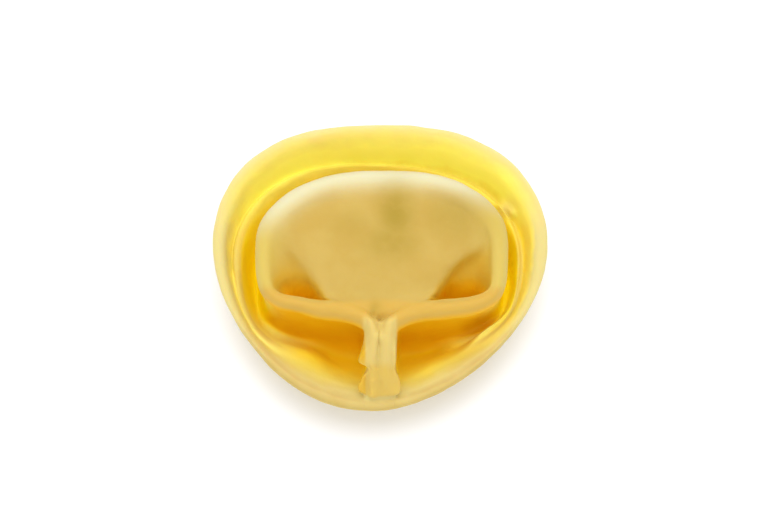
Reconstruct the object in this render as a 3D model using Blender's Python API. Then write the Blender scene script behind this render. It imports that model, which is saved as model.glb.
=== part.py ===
"""One tortellino: a disc of egg dough folded in half over its filling and wrapped round a finger.

The folded edge is the loop on top. At the back the filling swells it into a fat belly, at the sides and
the front it is a thin double lip, and at the front its two ends turn forward and are pinched together as
two tongues. The sealed edge is turned out and up around the belly as a brim of two layers, the outer one
longer than the inner one. Underneath, the brim's fold stands on the table round a shallow navel.

The surface is lofted. Meridians run from the lip over the fold, down into the groove, up the brim, over its
rim and under the base to the navel, and those at the front run along the tongues instead. A grid of the
belly's inner face closes the ring of lip points on top. Lengths are in metres, +Z is up, +Y is the belly
side and the origin is on the table under the middle.
"""

import math
from collections import namedtuple

import bmesh
import bpy
from mathutils import Vector

MM = 0.001

# Rim: the brim's outer edge seen from above, as a radius round the origin.
RIM_RADIUS = 14.06 * MM
RIM_TO_BACK = 0.83 * MM  # the outline lies this far towards the belly side
RIM_TO_LEFT = 0.12 * MM
RIM_OVAL = 0.905 * MM  # wider than deep
RIM_OVAL_TURN = math.radians(4.5)
RIM_THREE_CORNERS = 0.71 * MM  # two broad corners at the back and one at the front
RIM_THREE_TURN = math.radians(-2.8)
RIM_FOUR_CORNERS = 0.07 * MM
RIM_FOUR_TURN = math.radians(-35.0)

# Belly loop: the folded edge seen from above, a superellipse with a small beak where its ends turn forward.
LOOP_MIDDLE = Vector((0.15 * MM, 0.0))
LOOP_HALF_WIDTH = 11.15 * MM
LOOP_BACK_REACH = 7.83 * MM
LOOP_FRONT_REACH = 5.95 * MM
LOOP_FRONT_SQUARENESS = (3.7, 3.9)  # left, right
LOOP_BACK_SQUARENESS = (2.3, 2.45)
# Beaks at the middle of the front, as reach and half width: a broad one, and a narrow one at the tongues.
BEAKS = ((0.7 * MM, 3.2 * MM), (1.0 * MM, 1.35 * MM))

# Folded edge: radius of its fold and how far its outer side reaches down, at the front, the sides and the
# back, and the height of its crest at the front, the right, the back and the left.
FOLD_RADIUS = (0.78 * MM, 0.86 * MM, 3.0 * MM)
FOLD_DROP = (1.7 * MM, 1.5 * MM, 3.6 * MM)
FOLD_CREST = (12.7 * MM, 12.8 * MM, 13.9 * MM, 12.8 * MM)
FOLD_ARC_STEPS = 5
FOLD_SWELL_POWER = 1.6  # how late the fold starts to swell on its way round to the back
FOLD_CORNER_THINNING = 0.22  # share of the radius lost at the two front corners
FOLD_CORNERS = (0.4, 0.2)  # where they are and how wide, as the sine of the way round to the front
FOLD_FOOT = 1.7  # in fold radii: the belly's inner face is met this far inside the loop
FOLD_LEAST_DROP = 0.02  # in fold radii
LIP_RADIUS = FOLD_RADIUS[0]
LIP_Y = LOOP_MIDDLE.y - LOOP_FRONT_REACH + 2.0 * LIP_RADIUS  # the front lip's inner side

# Belly: its inner face falls gently to the front lip and leaves a deep dimple on either side.
BELLY_TOP = 13.9 * MM
BELLY_CREST_Y = 4.9 * MM
BELLY_FORWARD_FALL = 18.0  # per metre: fall = this times the distance squared
BELLY_SIDEWAYS_FALL = 15.0
# A fold of the belly hangs over each dimple. It leaves the lip at lip_x, runs back by fold_reach while it
# turns outwards within fold_turn, and the dimple ends at outer_x. Right behind the lip lies a crevice.
Dimple = namedtuple("Dimple", "depth crevice fold_breadth lip_x fold_reach fold_turn outer_x side_slope")
LEFT_DIMPLE = Dimple(1.6 * MM, 2.8 * MM, 1.0 * MM, 4.8 * MM, 7.2 * MM, 2.9 * MM, 10.2 * MM, 1.4 * MM)
RIGHT_DIMPLE = Dimple(2.9 * MM, 2.8 * MM, 0.8 * MM, 4.6 * MM, 5.6 * MM, 2.1 * MM, 10.8 * MM, 2.6 * MM)
DIMPLE_REACH_BACK = 6.8 * MM
CREVICE_REACH_BACK = 2.6 * MM
# Grid points gather along the fold, so that it stays crisp, but not beside the lip.
GATHER_STRENGTH = 0.62
GATHER_REACH = 1.1 * MM
GATHER_LIP_GAP = 1.2 * MM

# Tongues: the pinched ends, which run from the lip to the rim.
TONGUE_TIP_Y = -11.9 * MM
TONGUE_TIP_ROUND = 0.3 * MM
TONGUE_TOP = (12.7 * MM, 7.3 * MM)  # height at the lip and at the end
TONGUE_ARCH = 0.55 * MM
TONGUE_CREASE = 0.40 * MM
TONGUE_CREASE_FADE = 0.6  # how much shallower the crease is at the tip
TONGUE_CREASE_WIDTH = 0.28 * MM
TONGUE_CREASE_X = -0.2 * MM
TONGUE_SHOULDER = 0.9 * MM  # the fall at the outer edges
TONGUE_SHOULDER_FADE = 0.5
TONGUE_SHOULDER_START = 0.25  # share of the length over which the shoulders set in
TONGUE_SHOULDER_POWER = 5
TONGUE_HALF_WIDTH = 1.28 * MM
# Share of the length, then half width on the left and on the right. The ends flare into a fishtail.
TONGUE_STATIONS = (
    (0.0, 1.28 * MM, 1.28 * MM),
    (0.20, 1.20 * MM, 1.30 * MM),
    (0.36, 1.30 * MM, 1.36 * MM),
    (0.57, 1.80 * MM, 1.42 * MM),
    (0.64, 1.10 * MM, 1.30 * MM),
    (0.87, 2.00 * MM, 1.85 * MM),
    (0.95, 1.95 * MM, 1.85 * MM),
    (1.0, 1.50 * MM, 1.60 * MM),
)
TONGUE_ROWS = (0.0, 0.08, 0.17, 0.26, 0.36, 0.47, 0.57, 0.64, 0.71, 0.79, 0.87, 0.95, 1.0)
NOTCH_DEPTH = 1.0 * MM  # the V between the two lips where they turn into tongues
NOTCH_WIDTH = 0.45 * MM
NOTCH_LENGTH = 0.2  # share of the tongues' length

# Loft. Meridians across the tongues, as distances from the middle plane, and meridians down either side.
BAND_OFFSETS = tuple(d * MM for d in (0.0, 0.2, 0.5, 0.82, 1.08, 1.28, 1.42, 1.75, 2.3))
SIDE_MERIDIANS = 48
BELLY_HALF_COLUMNS = 17
BELLY_BULGE_POWER = 4  # how fast the sides' bulge fades towards the middle of the belly's grid
NAVEL_SHARES = (0.84, 0.68, 0.48, 0.24)
NAVEL_DEPTHS = (0.5 * MM, 1.5 * MM, 2.5 * MM, 3.0 * MM)

# Rings from the lip to the ground: share of the way from the belly loop to the rim, and height in
# millimetres, each at the front, the right, the back and the left. A third value is how far the ring follows
# the beak, which webs the corner between lip and tongue.
GROOVE_RINGS = {
    "under_lip": ((-0.09, -0.13, -0.03, -0.12), (10.0, 10.2, 8.2, 10.2), 1.0),
    "wall": ((-0.09, -0.15, -0.10, -0.14), (6.4, 6.0, 5.2, 6.0), 0.55),
    "wall_foot": ((-0.01, -0.05, -0.05, -0.04), (3.6, 3.3, 3.2, 3.3)),
    "groove": ((0.11, 0.06, 0.08, 0.10), (2.3, 2.3, 2.2, 2.2)),
    "groove_rise": ((0.28, 0.14, 0.18, 0.22), (2.8, 3.3, 3.2, 3.0)),
    "inner_layer": ((0.44, 0.21, 0.26, 0.32), (4.0, 5.0, 4.6, 4.7)),
    "inner_edge_in": ((0.58, 0.26, 0.32, 0.40), (5.3, 6.4, 5.6, 6.2)),
    "inner_edge_out": ((0.67, 0.39, 0.42, 0.57), (5.75, 6.7, 6.2, 6.6)),
    "step_foot": ((0.70, 0.43, 0.45, 0.60), (5.8, 6.0, 5.9, 6.0)),
    "outer_layer": ((0.77, 0.58, 0.64, 0.68), (6.2, 7.1, 7.5, 7.0)),
}
RIM_RINGS = {
    "rim_in": ((0.86, 0.67, 0.80, 0.74), (6.55, 7.9, 8.5, 7.9)),
    "rim_top": ((0.93, 0.86, 0.92, 0.88), (6.8, 8.2, 8.65, 8.2)),
    "rim_out": ((1.0, 1.0, 1.0, 1.0), (6.2, 7.6, 8.0, 7.6)),
    "outside_high": ((0.92, 0.89, 0.83, 0.90), (4.9, 6.0, 6.3, 6.0)),
    "outside": ((0.77, 0.76, 0.67, 0.78), (3.1, 4.2, 4.5, 4.2)),
    "outside_low": ((0.60, 0.58, 0.52, 0.61), (1.7, 2.3, 2.6, 2.3)),
    "outside_foot": ((0.45, 0.38, 0.37, 0.42), (0.6, 0.8, 0.9, 0.8)),
    "ground_out": ((0.30, 0.20, 0.20, 0.24), (0.0, 0.0, 0.0, 0.0)),
    "ground_in": ((0.04, -0.08, -0.06, -0.05), (0.0, 0.0, 0.0, 0.0)),
}

DOUGH_COLOUR = (0.93, 0.72, 0.24, 1.0)
DOUGH_ROUGHNESS = 0.45


def eased(share):
    """Smooth step from 0 to 1."""
    share = min(1.0, max(0.0, share))
    return share * share * (3.0 - 2.0 * share)


def between(start, end, share):
    return start + (end - start) * share


def round_the_piece(values, angle):
    """A smooth value round the piece from its values at the front, the right, the back and the left."""
    front, right, back, left = values
    ends = (front + back - right - left) / 4
    return (
        sum(values) / 4
        + (right - left) / 2 * math.cos(angle)
        + (back - front) / 2 * math.sin(angle)
        - ends * math.cos(2 * angle)
    )


def rim_radius(angle):
    return (
        RIM_RADIUS
        + RIM_TO_BACK * math.sin(angle)
        - RIM_TO_LEFT * math.cos(angle)
        + RIM_OVAL * math.cos(2 * (angle - RIM_OVAL_TURN))
        + RIM_THREE_CORNERS * math.sin(3 * (angle - RIM_THREE_TURN))
        + RIM_FOUR_CORNERS * math.cos(4 * (angle - RIM_FOUR_TURN))
    )


def loop_radius(angle, beak=1.0):
    across, along = math.cos(angle), math.sin(angle)
    reach = LOOP_BACK_REACH if along > 0 else LOOP_FRONT_REACH
    side = 0 if across < 0 else 1
    squareness = between(LOOP_FRONT_SQUARENESS[side], LOOP_BACK_SQUARENESS[side], eased(0.5 + along))
    total = abs(across / LOOP_HALF_WIDTH) ** squareness + abs(along / reach) ** squareness
    radius = total ** (-1 / squareness)
    if along < 0:
        for reach, half_width in BEAKS:
            radius += beak * reach * math.exp(-((radius * across / half_width) ** 2))
    return radius


def loop_inward(angle):
    """Direction in plan from the loop to the belly, square to the loop without its beaks."""
    step = 1e-3
    before, after = (
        loop_radius(turned, 0.0) * Vector((math.cos(turned), math.sin(turned)))
        for turned in (angle - step, angle + step)
    )
    along = (after - before).normalized()
    return Vector((-along.y, along.x))


def angle_at(radius_of, side, offset):
    """Angle of the outline's front point that lies at this distance from the middle plane."""
    lean = 0.0
    for _ in range(8):
        lean = math.asin(offset / radius_of(-math.pi / 2 + side * lean))
    return -math.pi / 2 + side * lean


def dimple_at(x):
    return LEFT_DIMPLE if x < 0 else RIGHT_DIMPLE


def past_fold(x, y):
    """How far a point lies in the dimple, past the belly's fold, and the way back over the fold."""
    dimple = dimple_at(x)
    out = abs(x) - dimple.lip_x
    slope = dimple.fold_reach / dimple.fold_turn
    fold_y = LIP_Y + slope * out
    if out > 0.0:
        fading = math.exp(-out / dimple.fold_turn)
        slope *= fading
        fold_y = LIP_Y + dimple.fold_reach * (1.0 - fading)
    inwards = Vector((-math.copysign(slope, x), 1.0)).normalized()
    return (fold_y - y) / math.hypot(1.0, slope), inwards


def belly_height(x, y):
    """The belly's inner face: its crown, less the dimple beside the pinched ends."""
    forward = max(0.0, BELLY_CREST_Y - y)
    crown = BELLY_TOP - BELLY_FORWARD_FALL * forward**2 - BELLY_SIDEWAYS_FALL * x**2
    dimple = dimple_at(x)
    past, _ = past_fold(x, y)
    behind_lip = y - LIP_Y
    depth = dimple.depth * min(1.0, max(0.0, 1.0 - behind_lip / DIMPLE_REACH_BACK))
    depth += dimple.crevice * eased(1.0 - behind_lip / CREVICE_REACH_BACK)
    near_belly = eased((dimple.outer_x - abs(x)) / dimple.side_slope)
    return crown - depth * eased(past / dimple.fold_breadth) * near_belly


def gathered(plan):
    """Point of the belly drawn towards the fold over the nearest dimple."""
    past, inwards = past_fold(plan.x, plan.y)
    past -= dimple_at(plan.x).fold_breadth / 2
    out = plan - LOOP_MIDDLE
    lip_gap = loop_radius(math.atan2(out.y, out.x)) - 2.0 * LIP_RADIUS - out.length
    pull = GATHER_STRENGTH * eased(lip_gap / GATHER_LIP_GAP) * math.exp(-((past / GATHER_REACH) ** 2))
    return plan + inwards * past * pull


class Meridian:
    """One line from the lip over the rim to the navel, on one side of the middle plane."""

    def __init__(self, side, offset=None, turn=0.0):
        """offset: distance from the middle plane across the tongues. turn: 0 to 1 from there to the back."""
        self.side = side
        self.offset = offset
        self.turn = turn
        self.loop_angle = self.angle_on(loop_radius)
        self.rim_angle = self.angle_on(rim_radius)
        self.inward = loop_inward(self.loop_angle)

    def angle_on(self, radius_of):
        if self.offset is not None:
            return angle_at(radius_of, self.side, self.offset)
        start = angle_at(radius_of, self.side, BAND_OFFSETS[-1])
        back = math.pi / 2 if self.side > 0 else -3 * math.pi / 2
        return between(start, back, self.turn)

    def on_tongue(self):
        return self.offset is not None and self.offset <= TONGUE_HALF_WIDTH + 1e-9

    def loop_point(self, inset=0.0, beak=1.0):
        out = Vector((math.cos(self.loop_angle), math.sin(self.loop_angle)))
        return LOOP_MIDDLE + loop_radius(self.loop_angle, beak) * out + inset * self.inward

    def rim_point(self):
        reach = rim_radius(self.rim_angle)
        return reach * Vector((math.cos(self.rim_angle), math.sin(self.rim_angle)))

    def folded(self, sizes):
        """A size of the fold, which is thin at the front and the sides and swells over the filling."""
        front, side, back = sizes
        backness = max(0.0, math.sin(self.loop_angle))
        frontness = max(0.0, -math.sin(self.loop_angle))
        return side + (back - side) * backness**FOLD_SWELL_POWER + (front - side) * frontness


def fold_point(meridian, turn):
    """Point on the folded edge. Turn 0 is where it meets the belly's inner face, 1 its outer side."""
    radius, down = meridian.folded(FOLD_RADIUS), meridian.folded(FOLD_DROP)
    corner, breadth = FOLD_CORNERS
    past_corner = -math.sin(meridian.loop_angle) - corner
    radius *= 1.0 - FOLD_CORNER_THINNING * math.exp(-((past_corner / breadth) ** 2))
    crest = round_the_piece(FOLD_CREST, meridian.loop_angle)
    foot = meridian.loop_point(FOLD_FOOT * radius)
    drop = min(radius, max(FOLD_LEAST_DROP * radius, crest - belly_height(foot.x, foot.y)))
    start = math.pi - math.asin(1.0 - drop / radius)
    angle = between(start, 0.0, turn)
    plan = meridian.loop_point(radius * (1.0 - math.cos(angle)))
    height = crest - (radius if angle > math.pi / 2 else down) * (1.0 - math.sin(angle))
    if meridian.offset is not None:
        height -= NOTCH_DEPTH * math.exp(-((meridian.offset / NOTCH_WIDTH) ** 2))
        plan.x += crease_shift(meridian)
    return Vector((plan.x, plan.y, height))


def crease_shift(meridian):
    return TONGUE_CREASE_X * max(0.0, 1.0 - meridian.offset / TONGUE_HALF_WIDTH)


def tongue_half_width(side, share):
    column = 1 if side < 0 else 2
    for before, after in zip(TONGUE_STATIONS, TONGUE_STATIONS[1:]):
        if share <= after[0]:
            step = eased((share - before[0]) / (after[0] - before[0]))
            return between(before[column], after[column], step)
    return TONGUE_STATIONS[-1][column]


def tongue_point(meridian, share):
    """Point on top of the pinched ends, share of the way from the lip to their tip."""
    across = meridian.offset / TONGUE_HALF_WIDTH
    x = meridian.side * across * tongue_half_width(meridian.side, share) + crease_shift(meridian)
    x += LOOP_MIDDLE.x * (1.0 - share)
    tip_y = TONGUE_TIP_Y + TONGUE_TIP_ROUND * across**3
    y = between(meridian.loop_point(LIP_RADIUS).y, tip_y, share)
    notch = NOTCH_DEPTH * math.exp(-((meridian.offset / NOTCH_WIDTH) ** 2))
    crease = TONGUE_CREASE * math.exp(-((meridian.offset / TONGUE_CREASE_WIDTH) ** 2))
    crease *= 1.0 - TONGUE_CREASE_FADE * eased(2.0 * share - 1.0)
    shoulder = TONGUE_SHOULDER * across**TONGUE_SHOULDER_POWER * (1.0 - TONGUE_SHOULDER_FADE * share)
    dip = between(notch, crease, eased(share / NOTCH_LENGTH))
    dip += shoulder * eased(share / TONGUE_SHOULDER_START)
    top = between(*TONGUE_TOP, share) + TONGUE_ARCH * math.sin(math.pi * share)
    return Vector((x, y, top - dip))


def brim_point(meridian, shares, heights, beak=0.0):
    """Point of one of the rings from the lip's outer side to the ground."""
    share = round_the_piece(shares, meridian.rim_angle)
    height = round_the_piece(heights, meridian.rim_angle) * MM
    plan = meridian.loop_point(beak=beak).lerp(meridian.rim_point(), share)
    return Vector((plan.x, plan.y, height))


def meridian_points(meridian):
    """All points of a meridian from the lip's inner side to the last ring of the navel."""
    folds = [fold_point(meridian, step / FOLD_ARC_STEPS) for step in range(FOLD_ARC_STEPS + 1)]
    points = folds + [brim_point(meridian, *ring) for ring in GROOVE_RINGS.values()]
    if meridian.on_tongue():
        kept = len(points) - len(TONGUE_ROWS)
        points = folds[:kept] + [tongue_point(meridian, share) for share in TONGUE_ROWS]
    points += [brim_point(meridian, *ring) for ring in RIM_RINGS.values()]
    for share, depth in zip(NAVEL_SHARES, NAVEL_DEPTHS):
        plan = LOOP_MIDDLE.lerp(meridian.loop_point(beak=0.0), share)
        points.append(Vector((plan.x, plan.y, depth)))
    return points


def meridians():
    """Meridians in order from the front over the right side and the back to the left side."""
    right = [Meridian(1, offset=offset) for offset in BAND_OFFSETS]
    right += [Meridian(1, turn=step / SIDE_MERIDIANS) for step in range(1, SIDE_MERIDIANS + 1)]
    left = [Meridian(-1, turn=step / SIDE_MERIDIANS) for step in range(SIDE_MERIDIANS - 1, 0, -1)]
    left += [Meridian(-1, offset=offset) for offset in reversed(BAND_OFFSETS[1:])]
    return right + left


def belly_grid(mesh, ring):
    """Vertices inside the closed ring as rows from front to back, each from left to right."""
    half, columns = BELLY_HALF_COLUMNS, 2 * BELLY_HALF_COLUMNS
    back = len(ring) // 2
    rows = back - columns
    front_side = [ring[step - half] for step in range(columns + 1)]
    back_side = [ring[back + half - step] for step in range(columns + 1)]
    left_side = [ring[-half - step] for step in range(rows + 1)]
    right_side = [ring[half + step] for step in range(rows + 1)]
    grid = [front_side]
    for step in range(1, rows):
        v = step / rows
        line = [left_side[step]]
        left_bulge = left_side[step].co.xy - front_side[0].co.xy.lerp(back_side[0].co.xy, v)
        right_bulge = right_side[step].co.xy - front_side[-1].co.xy.lerp(back_side[-1].co.xy, v)
        for place in range(1, columns):
            u = place / columns
            plan = front_side[place].co.xy.lerp(back_side[place].co.xy, v)
            plan += left_bulge * (1.0 - u) ** BELLY_BULGE_POWER + right_bulge * u**BELLY_BULGE_POWER
            plan = gathered(plan)
            line.append(mesh.verts.new((plan.x, plan.y, belly_height(plan.x, plan.y))))
        line.append(right_side[step])
        grid.append(line)
    grid.append(back_side)
    return grid


def loft(lines, bottom):
    """Closed mesh through equally long lines of points, with the belly on top and a pole at the bottom."""
    mesh = bmesh.new()
    rows = [[mesh.verts.new(point) for point in line] for line in lines]
    bottom_vertex = mesh.verts.new(bottom)
    for index, row in enumerate(rows):
        following = rows[(index + 1) % len(rows)]
        mesh.faces.new((bottom_vertex, following[-1], row[-1]))
        for step in range(len(row) - 1):
            mesh.faces.new((row[step], row[step + 1], following[step + 1], following[step]))
    grid = belly_grid(mesh, [row[0] for row in rows])
    for lower, upper in zip(grid, grid[1:]):
        for place in range(len(lower) - 1):
            mesh.faces.new((lower[place], lower[place + 1], upper[place + 1], upper[place]))
    bmesh.ops.recalc_face_normals(mesh, faces=mesh.faces)
    return mesh


def dough_material():
    material = bpy.data.materials.new("egg_dough")
    material.use_nodes = True
    shader = material.node_tree.nodes["Principled BSDF"]
    shader.inputs["Base Color"].default_value = DOUGH_COLOUR
    shader.inputs["Roughness"].default_value = DOUGH_ROUGHNESS
    shader.inputs["Metallic"].default_value = 0.0
    return material


def centre_on_origin(mesh):
    """Move the piece sideways, so that the middle of its outline is over the origin."""
    for axis in (0, 1):
        places = [vertex.co[axis] for vertex in mesh.verts]
        middle = (min(places) + max(places)) / 2
        for vertex in mesh.verts:
            vertex.co[axis] -= middle


def make_tortellino():
    lines = [meridian_points(meridian) for meridian in meridians()]
    lofted = loft(lines, Vector((LOOP_MIDDLE.x, LOOP_MIDDLE.y, NAVEL_DEPTHS[-1])))
    centre_on_origin(lofted)
    data = bpy.data.meshes.new("tortellino")
    lofted.to_mesh(data)
    lofted.free()
    data.shade_smooth()
    data.materials.append(dough_material())
    piece = bpy.data.objects.new("tortellino", data)
    bpy.context.collection.objects.link(piece)
    return piece


def main():
    for leftover in list(bpy.data.objects):
        bpy.data.objects.remove(leftover)
    make_tortellino()


main()
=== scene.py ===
"""One piece of filled egg pasta on a pale table: the dough's fine shape, its colours and the studio.

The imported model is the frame. The dough starts as a merged copy of its solid, which is subdivided and then
sculpted: the folds over the two dimples get crisp, the lips and the pinched ends get their creases, the cut
edges wander and the whole surface undulates as rolled dough does. Positions in this file are millimetres
in the model's own axes unless a name says otherwise.
"""

import math

import bpy
import numpy as np
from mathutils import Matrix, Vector
from mathutils.bvhtree import BVHTree


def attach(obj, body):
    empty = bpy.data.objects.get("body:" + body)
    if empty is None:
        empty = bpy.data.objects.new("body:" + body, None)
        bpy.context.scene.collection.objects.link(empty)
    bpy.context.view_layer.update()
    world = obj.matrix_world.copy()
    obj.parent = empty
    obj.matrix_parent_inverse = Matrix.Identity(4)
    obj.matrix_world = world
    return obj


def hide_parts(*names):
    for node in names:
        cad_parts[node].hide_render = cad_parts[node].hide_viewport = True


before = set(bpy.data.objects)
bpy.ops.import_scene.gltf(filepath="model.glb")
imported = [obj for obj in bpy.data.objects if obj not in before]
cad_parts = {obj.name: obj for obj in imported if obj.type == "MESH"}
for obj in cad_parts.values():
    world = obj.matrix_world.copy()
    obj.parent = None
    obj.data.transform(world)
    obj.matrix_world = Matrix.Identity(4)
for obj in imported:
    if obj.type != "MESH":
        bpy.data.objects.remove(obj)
bpy.context.view_layer.update()

bl_info = {
    "name": "Tortellino",
    "version": (1, 0, 0),
    "blender": (4, 5, 0),
    "location": "3D View > Sidebar > Tortellino",
    "description": "Shapes and colours one piece of filled egg pasta and lights it on a pale table",
    "category": "Object",
}

MM = 0.001
NODE = "tortellino"
PIECE = "tortellino_dough"

# The piece's plan, as the solid has it: rim and belly loop are radii round LOFT_MIDDLE.
LOFT_MIDDLE = np.array((0.009, -0.114))
LOOP_MIDDLE = np.array((0.15, 0.0))
LOOP_HALF_WIDTH = 11.15
LOOP_BACK_REACH = 7.83
LOOP_FRONT_REACH = 5.95
LOOP_FRONT_SQUARENESS = (3.7, 3.9)  # left, right
LOOP_BACK_SQUARENESS = (2.3, 2.45)
LIP_Y = -4.39
# Shares of the way from loop to rim at the front, the right, the back and the left.
INNER_EDGE_IN = (0.58, 0.31, 0.32, 0.40)
INNER_EDGE_OUT = (0.67, 0.45, 0.42, 0.57)
SKY_BLUR_ROUNDS = 16


def linear(code):
    """Linear RGB of an sRGB hex colour."""
    parts = [int(code[place:place + 2], 16) / 255 for place in (0, 2, 4)]
    return tuple(c / 12.92 if c <= 0.04045 else ((c + 0.055) / 1.055) ** 2.4 for c in parts)


def eased(share):
    """Smooth step from 0 to 1."""
    share = np.clip(share, 0.0, 1.0)
    return share * share * (3.0 - 2.0 * share)


def bell(distance, width):
    return np.exp(-((distance / width) ** 2))


def round_the_piece(values, angle):
    front, right, back, left = values
    ends = (front + back - right - left) / 4
    return (
        sum(values) / 4
        + (right - left) / 2 * np.cos(angle)
        + (back - front) / 2 * np.sin(angle)
        - ends * np.cos(2 * angle)
    )


def rim_radius(angle):
    return (
        14.06
        + 0.83 * np.sin(angle)
        - 0.12 * np.cos(angle)
        + 0.905 * np.cos(2 * (angle - math.radians(4.5)))
        + 0.71 * np.sin(3 * (angle + math.radians(2.8)))
        + 0.07 * np.cos(4 * (angle + math.radians(35.0)))
    )


def loop_radius(angle):
    across, along = np.cos(angle), np.sin(angle)
    reach = np.where(along > 0, LOOP_BACK_REACH, LOOP_FRONT_REACH)
    front = np.where(across < 0, *LOOP_FRONT_SQUARENESS)
    back = np.where(across < 0, *LOOP_BACK_SQUARENESS)
    squareness = front + (back - front) * eased(0.5 + along)
    total = np.abs(across / LOOP_HALF_WIDTH) ** squareness + np.abs(along / reach) ** squareness
    return total ** (-1 / squareness)


def points_of(mesh, name="co"):
    values = np.empty(len(mesh.vertices) * 3)
    mesh.vertices.foreach_get(name, values)
    return values.reshape(-1, 3)


class Dough:
    """The fine mesh's points in millimetres, with where each lies on the piece."""

    def __init__(self, piece):
        self.mesh = piece.data
        self.points = points_of(self.mesh) / MM
        self.measure()

    def measure(self):
        plan = self.points[:, :2] - LOFT_MIDDLE
        self.x, self.y, self.z = plan[:, 0], plan[:, 1], self.points[:, 2]
        out = plan - LOOP_MIDDLE
        self.angle = np.arctan2(self.y, self.x)
        loop_angle = np.arctan2(out[:, 1], out[:, 0])
        self.past_loop = np.hypot(out[:, 0], out[:, 1]) - loop_radius(loop_angle)
        reach = np.hypot(self.x, self.y)
        loop_reach = reach - self.past_loop
        self.share = self.past_loop / np.maximum(1.0, rim_radius(self.angle) - loop_reach)

    def write(self):
        self.mesh.vertices.foreach_set("co", (self.points * MM).ravel())
        self.mesh.update()
        self.measure()

    def paint(self, name, values):
        """Keep a value for each point, for the dough's material."""
        layer = self.mesh.attributes.new(name, "FLOAT", "POINT")
        layer.data.foreach_set("value", np.clip(values, 0.0, 1.0))


def fine_copy(levels):
    """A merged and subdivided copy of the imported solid, which keeps the solid's size."""
    bpy.ops.object.select_all(action="DESELECT")
    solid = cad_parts[NODE]
    piece = bpy.data.objects.new(PIECE, solid.data.copy())
    bpy.context.scene.collection.objects.link(piece)
    piece.select_set(True)
    bpy.context.view_layer.objects.active = piece
    bpy.ops.object.mode_set(mode="EDIT")
    bpy.ops.mesh.select_all(action="SELECT")
    bpy.ops.mesh.remove_doubles(threshold=1e-6)
    bpy.ops.mesh.tris_convert_to_quads(face_threshold=math.radians(120), shape_threshold=math.radians(120))
    bpy.ops.object.mode_set(mode="OBJECT")
    rounder = piece.modifiers.new("rounder", "SUBSURF")
    rounder.levels = rounder.render_levels = levels
    corners = points_of(piece.data)
    held = corners.copy()
    for _ in range(2):
        rounded = points_of(piece.evaluated_get(bpy.context.evaluated_depsgraph_get()).data)
        held += corners - rounded[:len(corners)]
        piece.data.vertices.foreach_set("co", held.ravel())
        piece.data.update()
    bpy.ops.object.modifier_apply(modifier=rounder.name)
    return piece


def soften(piece, name, weights, rounds):
    """Smooth the dough where the weights say, as with the smooth brush."""
    group = piece.vertex_groups.new(name=name)
    steps = np.round(np.clip(weights, 0.0, 1.0) * 20).astype(int)
    for step in range(1, 21):
        group.add(np.flatnonzero(steps == step).tolist(), step / 20, "REPLACE")
    smoother = piece.modifiers.new(name, "SMOOTH")
    smoother.vertex_group = name
    smoother.factor = 0.5
    smoother.iterations = rounds
    bpy.context.view_layer.objects.active = piece
    bpy.ops.object.modifier_apply(modifier=smoother.name)
    piece.vertex_groups.clear()


def roughen(piece, name, grain, height):
    """Move the dough in and out at random, over hills about a grain wide."""
    clouds = bpy.data.textures.new(name, "CLOUDS")
    clouds.noise_scale = grain * MM
    clouds.noise_depth = 1
    mover = piece.modifiers.new(name, "DISPLACE")
    mover.texture = clouds
    mover.texture_coords = "LOCAL"
    mover.strength = height * MM
    mover.mid_level = 0.5
    bpy.context.view_layer.objects.active = piece
    bpy.ops.object.modifier_apply(modifier=mover.name)


def grab(dough, centre, radius, move, free=1.0):
    """Pull the dough round a point as far as it is free to move, as with the grab brush."""
    reach = np.linalg.norm((dough.points - (*LOFT_MIDDLE, 0.0) - centre) / radius, axis=1)
    dough.points += (free * np.exp(-reach**2))[:, None] * move


def draw(dough, path, radius, move, free=1.0):
    """Raise or press the dough along a line as far as it is free to move, as with the draw brush."""
    points = dough.points - (*LOFT_MIDDLE, 0.0)
    nearest = np.full(len(points), 1e9)
    for start, end in zip(path, path[1:]):
        start, along = np.array(start), np.subtract(end, start)
        share = np.clip((points - start) @ along / (along @ along), 0.0, 1.0)
        nearest = np.minimum(nearest, np.linalg.norm(points - start - share[:, None] * along, axis=1))
    dough.points += (free * bell(nearest, radius))[:, None] * move


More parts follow.
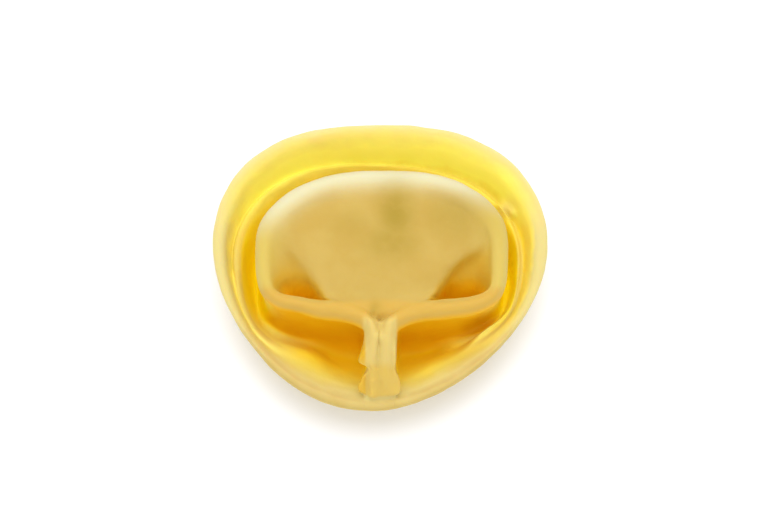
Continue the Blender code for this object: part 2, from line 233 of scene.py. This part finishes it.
def sculpt(piece):
    """The accidents of rolling and folding by hand."""
    dough = Dough(piece)
    # Beside and behind the dimples the belly runs into its fold without a valley.
    valley = bell(dough.past_loop + 1.95, 0.8) * eased(dough.y / 2.5) * eased((dough.z - 10.5) / 0.5)
    dough.points[:, 2] += 0.65 * valley
    # The inner layer's edge keeps close to the belly at the right corner, and the front pocket slopes gently.
    inner = eased((0.82 - dough.share) / 0.2)
    grab(dough, (10.0, -6.2, 5.8), (2.6, 2.2, 2.5), (-0.7, 0.5, 0.0), inner)
    grab(dough, (-7.2, -8.4, 4.6), (3.0, 2.4, 2.6), (0.7, 0.9, 0.3), inner)
    grab(dough, (5.2, -9.0, 4.6), (2.8, 2.0, 2.4), (-0.2, 0.45, 0.25), inner)
    turn = np.abs(np.degrees(dough.angle) + 90.0)
    ahead = eased((58.0 - turn) / 14.0) * (1.0 - on_tongue(dough))
    dough.points[:, 2] += 0.9 * bell(dough.past_loop - 0.3, 0.6) * ahead * eased((5.5 - dough.z) / 1.5)
    # The pocket is shallow at both corners.
    corner_floor = eased((5.0 - dough.z) / 2.0) * (dough.z > 0.5)
    right_corner = ((12.0, -0.5, 2.5), (11.0, -4.0, 2.5), (9.0, -6.0, 2.5), (7.0, -6.8, 2.8))
    draw(dough, right_corner, 1.4, (0.0, 0.0, 2.2), corner_floor)
    draw(dough, ((-9.9, -4.8, 2.5), (-8.4, -6.6, 2.8), (-6.6, -7.6, 3.0)), 1.4, (0.0, 0.0, 1.6), corner_floor)
    # Near the middle the lips run into the belly, and only a small notch is left between them.
    top = eased((dough.z - 10.8) / 0.4)
    draw(dough, ((-4.2, -4.4, 12.1), (-3.0, -4.6, 12.2), (-2.0, -4.9, 12.1), (-1.0, -5.35, 12.0)), 0.55, (0.0, 0.0, 0.34), top)
    draw(dough, ((4.4, -4.4, 12.1), (3.0, -4.6, 12.2), (2.0, -4.9, 12.1), (0.8, -5.5, 12.0)), 0.55, (0.0, 0.0, 0.34), top)
    draw(dough, ((-0.2, -5.3, 12.0), (-0.1, -6.2, 11.5), (-0.05, -7.6, 11.8)), 0.35, (0.0, 0.0, 0.4), top)
    grab(dough, (-0.05, -6.05, 11.6), (0.5, 0.4, 0.8), (0.0, 0.0, 0.45))
    # The back of the belly leans over its gap.
    grab(dough, (0.0, 7.2, 12.0), (7.0, 1.6, 3.0), (0.0, 0.16, 0.0), eased((dough.z - 8.8) / 0.5))
    dough.write()
    x, y = dough.x, dough.y
    inside = eased((-dough.past_loop - 0.4) / 0.5) * eased((dough.z - 8.0) / 1.0)
    crevice = bell((y - LIP_Y - 0.9) / 1.1, 1.0) * eased((9.8 - np.abs(x)) / 0.8) * eased((np.abs(x) - 3.8) / 0.8)
    right_fold = bell((x - 6.2 - 0.62 * (y + 3.2)) / 0.9, 1.0) * eased((3.0 - y) / 1.5) * (x > 3.0)
    middle = eased((-dough.past_loop - 0.2) / 0.4) * eased((4.2 - np.abs(x)) / 1.2) * eased((y + 7.0) / 1.0)
    left_side = inside * bell(dough.past_loop + 1.7, 0.8) * eased((2.5 - y) / 1.5) * eased((y + 4.2) / 1.0) * (x < 0.0)
    soften(piece, "belly", inside * (1.0 - crevice) * (1.0 - 0.9 * right_fold), 24)
    soften(piece, "middle", np.maximum(middle, left_side), 70)
    soften(piece, "tongue", on_tongue(dough), 12)
    soften(piece, "crevices", inside * np.maximum(crevice, right_fold), 3)
    pocket = ahead * eased((dough.share + 0.25) / 0.15) * eased((0.9 - dough.share) / 0.06)
    pocket *= eased((8.5 - dough.z) / 1.5) * eased((dough.z - 1.2) / 0.5)
    floor = eased((112.0 - turn) / 20.0) * eased((6.7 - dough.z) / 1.2) * eased((dough.z - 1.2) / 0.5)
    floor *= eased((dough.share + 0.25) / 0.15) * eased((0.7 - dough.share) / 0.1)
    soften(piece, "pockets", np.maximum(pocket, floor), 60)
    first = round_the_piece(INNER_EDGE_IN, dough.angle) - 0.16
    brim = eased((dough.share - first) / 0.08) * eased((0.93 - dough.share) / 0.06) * (dough.z > 4.0)
    brim *= eased((points_of(dough.mesh, "normal")[:, 2] + 0.1) / 0.2) * (1.0 - on_tongue(dough))
    soften(piece, "corners", brim * eased((34.0 - np.abs(turn - 56.0)) / 14.0), 45)
    soften(piece, "strips", brim * eased((turn - 70.0) / 15.0) * eased((160.0 - turn) / 20.0), 12)
    soften(piece, "notch", bell(x + 0.05, 0.7) * bell(y + 6.0, 0.6) * (dough.z > 10.5), 30)
    dough = Dough(piece)
    # The left lip is drawn in a little beside its corner, and bulges next to that.
    grab(dough, (-7.3, -5.5, 11.2), (1.3, 1.0, 1.6), (0.0, 0.35, 0.05))
    # A lower layer of dough shows as a fin left of the pinched ends.
    grab(dough, (-1.4, -7.6, 10.9), (0.35, 0.7, 1.2), (-0.3, 0.0, -0.15))
    grab(dough, (-1.5, -8.5, 10.2), (0.35, 0.6, 1.1), (-0.3, 0.0, -0.2))
    grab(dough, (-1.6, -9.2, 9.8), (0.35, 0.45, 0.9), (-0.25, 0.0, -0.25))
    draw(dough, ((-1.25, -7.0, 12.3), (-1.25, -9.4, 10.5)), 0.2, (0.0, 0.0, -0.3))
    # A crease parts the two ends, deepest behind, and the right one is the thicker of the two.
    draw(dough, ((0.8, -6.4, 12.6), (0.8, -9.6, 10.9)), 0.5, (0.0, 0.0, 0.2))
    draw(dough, ((-0.1, -6.6, 12.2), (-0.1, -8.6, 11.2), (-0.25, -9.8, 9.8)), 0.22, (0.0, 0.0, -0.2))
    # They end in a fishtail: a flap on the left, a thick tip and a lobe on the right.
    grab(dough, (-2.0, -11.4, 8.0), (0.5, 0.6, 0.8), (-0.1, -0.35, -0.1))
    grab(dough, (-0.7, -11.9, 7.5), (0.5, 0.4, 0.5), (0.0, -0.25, 0.1))
    grab(dough, (1.4, -11.5, 7.6), (0.5, 0.4, 0.5), (0.15, -0.25, 0.0))
    draw(dough, ((-1.2, -10.3, 9.2), (-1.2, -12.0, 7.4)), 0.22, (0.0, 0.0, -0.4))
    draw(dough, ((-0.65, -11.0, 8.6), (-0.65, -11.9, 7.7)), 0.35, (0.0, 0.0, 0.25))
    draw(dough, ((0.0, -10.9, 8.7), (0.1, -11.9, 7.6)), 0.2, (0.0, 0.0, -0.25))
    # The inner layer is torn on the right.
    draw(dough, ((11.0, 6.0, 6.4), (11.9, 5.2, 6.6)), 0.4, (-0.15, -0.1, 0.8))
    # A short fold nicks the brim's inner side at the lower left.
    draw(dough, ((-9.7, -5.4, 6.2), (-8.7, -6.7, 5.9)), 0.22, (0.0, 0.0, -0.35))
    dough.write()
    roughen(piece, "undulation", 4.5, 0.22)
    roughen(piece, "ripple", 1.5, 0.08)
    dough = Dough(piece)
    dough.points[:, 2] -= 0.34 * eased((dough.z - 12.9) / 1.2)
    dough.points[:, 2] = np.maximum(dough.points[:, 2], 0.0)
    dough.write()
    return dough


def on_tongue(dough):
    """How far each point belongs to the two pinched ends that hang over the front."""
    x, y, z = dough.x, dough.y, dough.z
    half_width = 1.7 + 0.9 * eased((-7.2 - y) / 0.8)
    return eased((half_width - np.abs(x)) / 0.4) * eased((-5.6 - y) / 1.0) * eased((z - 6.9) / 0.5) * (y > -12.3)


def openness(dough, rays):
    """How much of the sky each point sees past the dough round it: 0 in a crevice, 1 on top."""
    faces = [tuple(face.vertices) for face in dough.mesh.polygons]
    tree = BVHTree.FromPolygons([tuple(p) for p in dough.points], faces)
    normals = points_of(dough.mesh, "normal")
    golden = math.pi * (3 - math.sqrt(5))
    steps = (np.arange(rays) + 0.5) / rays
    lift, spread = np.sqrt(1 - steps), np.sqrt(steps)
    turn = golden * np.arange(rays)
    fan = np.stack((spread * np.cos(turn), spread * np.sin(turn), lift), axis=1)
    helper = np.where(np.abs(normals[:, 2:3]) > 0.9, (1.0, 0.0, 0.0), (0.0, 0.0, 1.0))
    across = np.cross(helper, normals)
    across /= np.linalg.norm(across, axis=1, keepdims=True)
    along = np.cross(normals, across)
    seen = np.zeros(len(normals))
    for a, b, c in fan:
        ways = a * across + b * along + c * normals
        starts = dough.points + 0.04 * normals
        for index in range(len(normals)):
            if tree.ray_cast(starts[index], ways[index], 14.0)[0] is None:
                seen[index] += 1
    # Neighbours share what they see, which leaves no hard line where a crevice starts.
    seen /= rays
    edges = np.empty(len(dough.mesh.edges) * 2, dtype=int)
    dough.mesh.edges.foreach_get("vertices", edges)
    ends = np.concatenate((edges, edges.reshape(-1, 2)[:, ::-1].ravel())).reshape(-1, 2)
    count = np.bincount(ends[:, 0], minlength=len(seen))
    for _ in range(SKY_BLUR_ROUNDS):
        seen = 0.5 * seen + 0.5 * np.bincount(ends[:, 0], seen[ends[:, 1]], len(seen)) / count
    return seen


# Where the filling shows through the belly, and a darker olive patch at the notch between the lips (the last): middle
# in x and y, reach in x and y, and strength.
FILLING_PATCHES = (
    (1.4, 3.2, 1.7, 2.6, 1.0),
    (0.9, 0.6, 2.6, 1.8, 0.7),
    (-2.2, 2.0, 2.2, 1.6, 0.4),
    (6.6, 3.0, 2.9, 2.2, 0.55),
    (-0.4, -5.2, 0.55, 0.7, 0.6),
)


def region_masks(dough, rays):
    """Paint the regions that differ in colour."""
    x, y, z, past, share = dough.x, dough.y, dough.z, dough.past_loop, dough.share
    normals = points_of(dough.mesh, "normal")
    upward = eased(normals[:, 2] * 2.0 + 0.5)
    front = eased((-y - 0.22 * np.abs(x)) / 6.0)
    front = np.maximum(front, eased((-y - 3.0) / 1.5) * eased((0.08 - share) / 0.08))
    back = eased((y - 0.15 * np.abs(x)) / 6.0)
    high = eased((z - 10.3) / 0.7)
    dough.paint("share", share)
    dough.paint("to_front", front)
    dough.paint("to_back", back)
    dough.paint("belly", np.maximum(high, eased((-past - 1.2) / 0.4) * eased((z - 7.0) / 1.0)))
    dough.paint("lip", eased((past + 1.9) / 0.7) * high * eased((-y - 2.8) / 1.2))
    # Painted shade on the lip's lower face, which turns under and away from the light.
    dough.paint("lip_low_shade", eased((np.abs(x) - 0.8) / 0.5) * eased((12.3 - z) / 0.9) * eased((past + 0.6) / 0.3) * high * eased((-y - 3.5) / 1.2))
    dough.paint("side_fold", bell(past + 0.6, 1.5) * high * (1.0 - front) * (1.0 - back))
    # Painted highlight: the belly's back edge, where the light from above and behind catches its fold, is painted
    # paler.
    dough.paint("back_edge", bell(past + 1.0, 1.4) * high * eased((y - 0.1 * x - 1.5) / 4.0))
    dough.paint("tongue", on_tongue(dough))
    flap = 0.7 * eased((-10.0 - y) / 0.5)
    dough.paint("fin", on_tongue(dough) * eased((-1.15 - x) / 0.25) * np.maximum(bell(y + 8.7, 1.4), flap))
    dough.paint("tail", on_tongue(dough) * eased((-9.3 - y) / 0.8))
    # Painted shade: the brim's faces that turn outward and away from the sky, and the dough near the table, are
    # painted a darker ochre.
    outward = (normals[:, 0] * np.cos(dough.angle) + normals[:, 1] * np.sin(dough.angle)) / 0.3
    dough.paint("outside", np.maximum(eased((share - 0.12 * z + 0.2) / 0.08) * eased(outward) * (1.0 - upward), eased((1.8 - z) / 0.5)))
    # Painted light: the pocket's shallow front corners are painted paler, as light reaches their floors.
    turn = np.abs(np.degrees(dough.angle) + 90.0)
    dough.paint("corner", 0.8 * bell(turn - 59.0, 12.0) * eased(share / 0.2) * eased((0.85 - share) / 0.2))
    # Painted light: the belly's walls in the gaps at the sides and the back are painted a brighter yellow.
    dough.paint("wall", eased((0.5 - past) / 0.4) * eased((z - 5.0) / 2.0) * (1.0 - eased((-y - 0.22 * np.abs(x)) / 3.0)))
    inner_in = round_the_piece(INNER_EDGE_IN, dough.angle)
    inner_out = round_the_piece(INNER_EDGE_OUT, dough.angle)
    inner = eased((share - inner_in) / 0.06 + 0.5) * eased((inner_out - share) / 0.06 + 0.5)
    inner *= upward * (z > 4.0) * eased((y + 8.0) / 2.5) * (1.0 - 0.75 * eased(y / 7.0))
    torn = bell(np.hypot(x - 11.5, y - 5.6) / 0.8, 1.0) * (z > 5.5)
    dough.paint("inner_edge", np.maximum(inner, torn))
    filling = np.zeros(len(x))
    for place_x, place_y, reach_x, reach_y, strength in FILLING_PATCHES:
        patch = strength * bell(np.hypot((x - place_x) / reach_x, (y - place_y) / reach_y), 1.0)
        filling = np.maximum(filling, patch)
    dough.paint("filling", filling * high)
    # The sky each point sees lays painted shade into the dimples and crevices; near the middle the belly is kept clear
    # of it.
    dough.paint("openness", openness(dough, rays) + eased((3.2 - np.abs(x)) / 1.0) * high)


def add_node(tree, kind, settings=None, **links):
    """Add a node with its settings, and link or set its inputs by name or index."""
    node = tree.nodes.new(kind)
    for name, value in (settings or {}).items():
        setattr(node, name, value)
    for name, value in links.items():
        socket = node.inputs[int(name[1:])] if name[0] == "i" and name[1:].isdigit() else node.inputs[name]
        if isinstance(value, bpy.types.NodeSocket):
            tree.links.new(value, socket)
        else:
            socket.default_value = value
    return node


# Colours of the brim from the loop (0) to its rim (1), at the front, the sides and the back. Towards the loop they
# carry painted light and shade: the deep orange at the front is painted shade in the pocket under the lip, and the
# bright yellow at the sides and the back is painted light in the gaps beside the belly.
FRONT_BRIM = ((0.0, "E4A600"), (0.08, "ECB400"), (0.18, "EEC400"), (0.42, "F4D82C"), (0.66, "D8C458"), (0.8, "DACD84"),
              (0.9, "CCB670"), (1.0, "C2A85C"))
SIDE_BRIM = ((0.0, "FFE000"), (0.3, "FFE410"), (0.5, "EDD24C"), (0.62, "F6E66C"), (0.72, "D8CA84"), (1.0, "D2C27C"))
BACK_BRIM = ((0.0, "FFEC6C"), (0.3, "F6E054"), (0.4, "DDC740"), (0.5, "F0E85C"), (0.65, "F4EA66"), (0.75, "E9DA66"), (0.86, "E4CA70"),
             (1.0, "E2CB8E"))


def egg_dough(colours):
    """Fresh egg dough, rolled and folded: matt, a little moist and faintly see-through."""
    material = bpy.data.materials.new("egg_dough_fresh")
    material.use_nodes = True
    tree = material.node_tree
    shader = tree.nodes["Principled BSDF"]

    def mask(name):
        return add_node(tree, "ShaderNodeAttribute", {"attribute_name": name}).outputs["Fac"]

    def mix(share, low, high):
        node = add_node(tree, "ShaderNodeMix", {"data_type": "RGBA"}, i0=share, i6=low, i7=high)
        return node.outputs[2]

    def ranged(value, low, high, start=0.0, end=1.0):
        node = add_node(tree, "ShaderNodeMapRange", {"interpolation_type": "SMOOTHSTEP"},
                        Value=value, i1=low, i2=high, i3=start, i4=end)
        return node.outputs[0]

    def ramp(value, stops):
        node = add_node(tree, "ShaderNodeValToRGB", None, Fac=value)
        elements = node.color_ramp.elements
        while len(elements) < len(stops):
            elements.new(0.5)
        for element, (place, code) in zip(elements, stops):
            element.position = place
            element.color = (*linear(code), 1.0)
        return node.outputs["Color"]

    def colour(name):
        return (*getattr(colours, name), 1.0)

    place = add_node(tree, "ShaderNodeTexCoord").outputs["Object"]

    def noise(grain, detail=3.0):
        node = add_node(tree, "ShaderNodeTexNoise", None, Vector=place, Scale=1.0 / (grain * MM), Detail=detail)
        return node.outputs["Fac"]

    def shifted(value, amount):
        """Value plus or minus amount times the unevenness of rolled dough."""
        drift = add_node(tree, "ShaderNodeMath", {"operation": "MULTIPLY_ADD"}, i0=noise(2.2), i1=amount,
                         i2=-0.5 * amount).outputs[0]
        return add_node(tree, "ShaderNodeMath", {"operation": "ADD"}, i0=value, i1=drift).outputs[0]

    open_sky = mask("openness")
    share = shifted(mask("share"), 0.14)
    brim = mix(mask("to_front"), ramp(share, SIDE_BRIM), ramp(share, FRONT_BRIM))
    brim = mix(mask("to_back"), brim, ramp(share, BACK_BRIM))
    # Painted light on the pocket's shallow front corners.
    brim = mix(mask("corner"), brim, colour("corner"))
    brim = mix(mask("inner_edge"), brim, colour("inner_edge"))
    # Painted light on the belly's walls in the gaps.
    brim = mix(mask("wall"), brim, colour("wall"))
    belly = mix(ranged(noise(3.5), 0.35, 0.65), colour("belly"), colour("belly_pale"))
    belly = mix(mask("side_fold"), belly, colour("side_fold"))
    filling = add_node(tree, "ShaderNodeMath", {"operation": "MULTIPLY"}, i0=mask("filling"),
                       i1=ranged(noise(1.7), 0.2, 0.6, 0.6, 1.0)).outputs[0]
    # Painted highlight along the belly's back edge.
    belly = mix(mask("back_edge"), belly, colour("back_edge_highlight"))
    # Painted shade: where the dough sees less sky, in the dimples, it takes the darker dimple colour.
    belly = mix(ranged(open_sky, 0.93, 0.5), belly, colour("dimple_shade"))
    # Painted light and shade: the deepest crevices take a saturated orange, the colour of light shining through and
    # bouncing in the dough there.
    belly = mix(ranged(open_sky, 0.5, 0.05), belly, colour("crevice"))
    belly = mix(mask("lip"), belly, colour("lip"))
    # Painted shade under the lip.
    belly = mix(mask("lip_low_shade"), belly, colour("lip_low_shade"))
    belly = mix(filling, belly, colour("filling"))
    skin = mix(mask("belly"), brim, belly)
    skin = mix(mask("tongue"), skin, colour("tongue"))
    skin = mix(mask("tail"), skin, colour("tail"))
    skin = mix(mask("fin"), skin, colour("fin"))
    # Painted shade on the brim's outward faces and near the table.
    skin = mix(mask("outside"), skin, colour("outside"))
    tree.links.new(skin, shader.inputs["Base Color"])
    bumps = add_node(tree, "ShaderNodeBump", None, Height=noise(0.5, 5.0), Distance=0.05 * MM, Strength=0.5)
    tree.links.new(bumps.outputs[0], shader.inputs["Normal"])
    shader.inputs["Roughness"].default_value = 0.6
    shader.inputs["IOR"].default_value = 1.42
    shader.inputs["Specular IOR Level"].default_value = 0.2
    shader.inputs["Subsurface Weight"].default_value = 0.25
    shader.inputs["Subsurface Radius"].default_value = (1.0, 0.55, 0.15)
    shader.inputs["Subsurface Scale"].default_value = 0.8 * MM
    return material


class DoughColours(bpy.types.PropertyGroup):
    """Colours of the dough, as it looks in plain white light, and painted light and shade: the highlight on the back
    edge, the shade in the dimples, the crevices and under the lip, the darker outside, and the paler corners and belly
    wall.
    """

    def colour(name, description, code):
        return bpy.props.FloatVectorProperty(
            name=name, description=description, default=linear(code), subtype="COLOR", min=0.0, max=1.0
        )

    belly: colour("Belly", "Thin dough over the filling", "BC9C4A")
    belly_pale: colour("Pale belly", "Paler patches of the belly", "C0A252")
    filling: colour("Filling", "Dough where the filling shows through", "A4892F")
    side_fold: colour("Side fold", "The fold at the belly's sides", "C8B057")
    # Painted highlight on the belly's back edge.
    back_edge_highlight: colour("Highlighted edge", "The highlighted back of the belly", "D3CCA4")
    # Painted shade in the dimples, laid on by how little sky the dough sees.
    dimple_shade: colour("Dimple", "Dough in the dimples", "CEA634")
    # Painted light and shade in the deepest crevices.
    crevice: colour("Crevice", "The depth of the dimples", "F6C406")
    lip: colour("Lip", "The folded edge at the front", "C8A248")
    # Painted shade on the lip's lower face.
    lip_low_shade: colour("Under the lip", "The lip's lower face", "E0A814")
    tongue: colour("Pinched ends", "Dough of the pinched ends", "D1B86A")
    tail: colour("Fishtail", "The far end of the pinched ends", "CFAF54")
    fin: colour("Fin", "The lower layer beside the pinched ends", "D2A626")
    inner_edge: colour("Inner edge", "Dried cut edge of the inner layer", "DEC767")
    # Painted light on the pocket's shallow corners.
    corner: colour("Corner", "The pocket's shallow corners", "F2E87C")
    # Painted light on the belly's walls in the gaps.
    wall: colour("Belly wall", "The belly's sides and back below its fold", "E2C964")
    # Painted shade on the brim's outward faces and near the table.
    outside: colour("Outside", "Outside of the brim", "D2B960")


class DoughSizes(bpy.types.PropertyGroup):
    """How finely the dough is shaped."""

    levels: bpy.props.IntProperty(
        name="Subdivisions", description="How often the solid's faces are split", default=2, min=1, max=3
    )
    rays: bpy.props.IntProperty(
        name="Sky rays", description="Rays per point that find the crevices", default=24, min=4, max=128
    )


class StudioSettings(bpy.types.PropertyGroup):
    """The table, the lights and the camera."""

    key_power: bpy.props.FloatProperty(
        name="Key light", description="Power of the softbox over the piece", default=0.78, unit="POWER"
    )
    fill: bpy.props.FloatProperty(
        name="Fill light", description="Brightness of the white room round the table", default=1.08, min=0.0
    )
    camera_height: bpy.props.FloatProperty(
        name="Camera elevation", description="Angle above the table", default=math.radians(74.0),
        subtype="ANGLE",
    )
    camera_distance: bpy.props.FloatProperty(
        name="Camera distance", description="From the middle of the piece", default=0.2306, unit="LENGTH"
    )
    lens: bpy.props.FloatProperty(
        name="Lens", description="Focal length", default=120.0, unit="CAMERA"
    )


class PASTA_OT_tortellino(bpy.types.Operator):
    """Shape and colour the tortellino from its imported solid"""

    bl_idname = "pasta.tortellino"
    bl_label = "Tortellino"

    def execute(self, context):
        sizes = context.scene.tortellino_sizes
        piece = fine_copy(sizes.levels)
        dough = sculpt(piece)
        region_masks(dough, sizes.rays)
        piece.data.shade_smooth()
        piece.data.materials.clear()
        piece.data.materials.append(egg_dough(context.scene.tortellino_colours))
        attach(piece, "root")
        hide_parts(NODE)
        return {"FINISHED"}


class PASTA_OT_studio(bpy.types.Operator):
    """Lay the pale table and set up the lights and the camera"""

    bl_idname = "pasta.studio"
    bl_label = "Studio"

    def execute(self, context):
        scene = context.scene
        studio = scene.tortellino_studio
        bpy.ops.object.select_all(action="DESELECT")
        bpy.ops.mesh.primitive_plane_add(size=2.0, location=(0.0, 0.0, 0.0))
        table = context.object
        table.name = "table"
        material = bpy.data.materials.new("white_laminate")
        material.use_nodes = True
        shader = material.node_tree.nodes["Principled BSDF"]
        shader.inputs["Base Color"].default_value = (*linear("F5F7FF"), 1.0)
        shader.inputs["Roughness"].default_value = 0.7
        table.data.materials.append(material)

        world = bpy.data.worlds.new("white_room")
        world.use_nodes = True
        sky = world.node_tree.nodes["Background"]
        sky.inputs["Color"].default_value = (1.0, 1.0, 1.0, 1.0)
        sky.inputs["Strength"].default_value = studio.fill
        scene.world = world

        key = bpy.data.lights.new("key_softbox", "AREA")
        key.shape = "SQUARE"
        key.size = 0.25
        key.energy = studio.key_power
        holder = bpy.data.objects.new("key_softbox", key)
        scene.collection.objects.link(holder)
        holder.location = (0.0, 0.08, 0.42)
        holder.rotation_euler = (-holder.location).to_track_quat("-Z", "Y").to_euler()

        camera = bpy.data.cameras.new("camera")
        camera.lens = studio.lens
        camera.sensor_width = 36.0
        camera.clip_start = 0.01
        camera.clip_end = 10.0
        eye = bpy.data.objects.new("camera", camera)
        scene.collection.objects.link(eye)
        aim = Vector((0.369, 0.146, 7.5)) * MM
        back = Vector((0.0, -math.cos(studio.camera_height), math.sin(studio.camera_height)))
        eye.location = aim + studio.camera_distance * back
        eye.rotation_euler = (-back).to_track_quat("-Z", "Y").to_euler()
        scene.camera = eye
        scene.view_settings.view_transform = "Standard"
        return {"FINISHED"}


class PASTA_PT_tortellino(bpy.types.Panel):
    """Sidebar panel with the piece's settings and its operators"""

    bl_label = "Tortellino"
    bl_idname = "PASTA_PT_tortellino"
    bl_space_type = "VIEW_3D"
    bl_region_type = "UI"
    bl_category = "Tortellino"

    def draw(self, context):
        scene = context.scene
        for title, settings in (
            ("Dough", scene.tortellino_sizes),
            ("Colours", scene.tortellino_colours),
            ("Studio", scene.tortellino_studio),
        ):
            box = self.layout.box()
            box.label(text=title)
            for name in settings.__annotations__:
                box.prop(settings, name)
        self.layout.operator(PASTA_OT_tortellino.bl_idname)
        self.layout.operator(PASTA_OT_studio.bl_idname)


CLASSES = (
    DoughColours,
    DoughSizes,
    StudioSettings,
    PASTA_OT_tortellino,
    PASTA_OT_studio,
    PASTA_PT_tortellino,
)


def register():
    for cls in CLASSES:
        bpy.utils.register_class(cls)
    bpy.types.Scene.tortellino_colours = bpy.props.PointerProperty(type=DoughColours)
    bpy.types.Scene.tortellino_sizes = bpy.props.PointerProperty(type=DoughSizes)
    bpy.types.Scene.tortellino_studio = bpy.props.PointerProperty(type=StudioSettings)


def unregister():
    del bpy.types.Scene.tortellino_studio
    del bpy.types.Scene.tortellino_sizes
    del bpy.types.Scene.tortellino_colours
    for cls in reversed(CLASSES):
        bpy.utils.unregister_class(cls)


def main():
    register()
    bpy.ops.pasta.tortellino()
    bpy.ops.pasta.studio()


if __name__ == "__main__":
    main()
